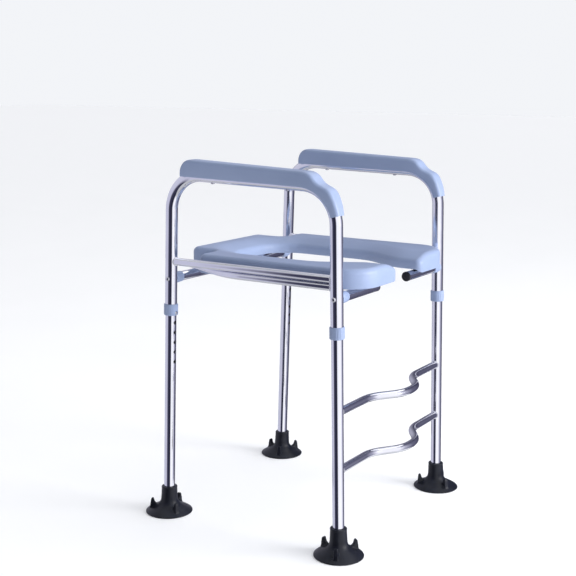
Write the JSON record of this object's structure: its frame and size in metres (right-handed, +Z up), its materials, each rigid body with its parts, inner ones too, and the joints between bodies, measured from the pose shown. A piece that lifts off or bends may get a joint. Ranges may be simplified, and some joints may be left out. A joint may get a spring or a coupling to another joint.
{
  "type": "toilet safety frame",
  "caption": "Free-standing toilet safety frame: tubular side frames with padded arms, a hinged open-front seat, telescoping legs, front bars and suction feet.",
  "frame": {"origin": "on the floor, under the middle of the four feet", "axes": "+Z up, -Y towards the front, where the user sits down from, and +X to the user's left"},
  "size_m": [0.553, 0.522, 0.7589],
  "materials": {
    "chrome": "bright chrome plated steel tube",
    "steel": "plated steel fasteners and springs",
    "blue_plastic": "moulded grey-blue plastic, satin with a fine grain",
    "black_rubber": "moulded rubber, dull sheen",
    "black_plastic": "moulded black plastic"
  },
  "bodies": {
    "frame": {"right_frame_tube": "chrome", "left_frame_tube": "chrome", "rear_cross_tube": "chrome", "right_front_support_arm": "chrome", "left_front_support_arm": "chrome", "right_arm_end_plug": "black_plastic", "left_arm_end_plug": "black_plastic", "right_side_rail": "chrome", "left_side_rail": "chrome", "right_rail_brace": "chrome", "left_rail_brace": "chrome", "right_armrest_pad": "blue_plastic", "left_armrest_pad": "blue_plastic", "right_front_pad_screw": "steel", "right_rear_pad_screw": "steel", "left_front_pad_screw": "steel", "left_rear_pad_screw": "steel", "front_right_collar": "blue_plastic", "front_left_collar": "blue_plastic", "rear_right_collar": "blue_plastic", "rear_left_collar": "blue_plastic", "front_right_saddle": "blue_plastic", "front_left_saddle": "blue_plastic", "rear_right_saddle": "blue_plastic", "rear_left_saddle": "blue_plastic", "front_right_cross_bolt": "steel", "front_left_cross_bolt": "steel", "rear_right_cross_bolt": "steel", "rear_left_cross_bolt": "steel", "front_right_tube_insert": "steel", "front_left_tube_insert": "steel", "rear_right_tube_insert": "steel", "rear_left_tube_insert": "steel"},
    "seat": {"seat_board": "blue_plastic", "right_seat_hinge_clip": "blue_plastic", "left_seat_hinge_clip": "blue_plastic", "right_seat_clip_screw": "steel", "left_seat_clip_screw": "steel", "right_seat_rest": "black_plastic", "left_seat_rest": "black_plastic"},
    "front_legs": {"front_right_lower_leg": "chrome", "front_left_lower_leg": "chrome", "upper_front_bar": "chrome", "lower_front_bar": "chrome", "front_right_suction_foot": "black_rubber", "front_left_suction_foot": "black_rubber", "front_right_button_spring": "steel", "front_left_button_spring": "steel"},
    "rear_right_leg": {"rear_right_lower_leg": "chrome", "rear_right_suction_foot": "black_rubber", "rear_right_button_spring": "steel"},
    "rear_left_leg": {"rear_left_lower_leg": "chrome", "rear_left_suction_foot": "black_rubber", "rear_left_button_spring": "steel"},
    "front_right_button": {"front_right_snap_button": "steel"},
    "front_left_button": {"front_left_snap_button": "steel"},
    "rear_right_button": {"rear_right_snap_button": "steel"},
    "rear_left_button": {"rear_left_snap_button": "steel"}
  },
  "joints": [
    {"name": "seat_hinge", "type": "hinge", "parent": "frame", "child": "seat", "pos_m": [0, 0.19735, 0.5115], "axis": [-1, 0, 0], "range_deg": [0, 95]},
    {"name": "front_legs_slide", "type": "slide", "parent": "frame", "child": "front_legs", "axis": [0, 0.0257, 0.9997], "range_m": [0, 0.063], "deforming": ["front_right_snap_button", "front_left_snap_button"]},
    {"name": "rear_right_leg_slide", "type": "slide", "parent": "frame", "child": "rear_right_leg", "axis": [0, -0.0257, 0.9997], "range_m": [0, 0.063], "deforming": ["rear_right_snap_button"]},
    {"name": "rear_left_leg_slide", "type": "slide", "parent": "frame", "child": "rear_left_leg", "axis": [0, -0.0257, 0.9997], "range_m": [0, 0.063], "deforming": ["rear_left_snap_button"]},
    {"name": "front_right_button_press", "type": "slide", "parent": "front_legs", "child": "front_right_button", "axis": [0, -0.9997, 0.0257], "range_m": [0, 0.0042], "stiffness_N_per_m": 1500, "springref_m": -0.002, "deforming": ["front_right_button_spring"]},
    {"name": "front_left_button_press", "type": "slide", "parent": "front_legs", "child": "front_left_button", "axis": [0, -0.9997, 0.0257], "range_m": [0, 0.0042], "stiffness_N_per_m": 1500, "springref_m": -0.002, "deforming": ["front_left_button_spring"]},
    {"name": "rear_right_button_press", "type": "slide", "parent": "rear_right_leg", "child": "rear_right_button", "axis": [0, 0.9997, 0.0257], "range_m": [0, 0.0042], "stiffness_N_per_m": 1500, "springref_m": -0.002, "deforming": ["rear_right_button_spring"]},
    {"name": "rear_left_button_press", "type": "slide", "parent": "rear_left_leg", "child": "rear_left_button", "axis": [0, 0.9997, 0.0257], "range_m": [0, 0.0042], "stiffness_N_per_m": 1500, "springref_m": -0.002, "deforming": ["rear_left_button_spring"]}
  ]
}
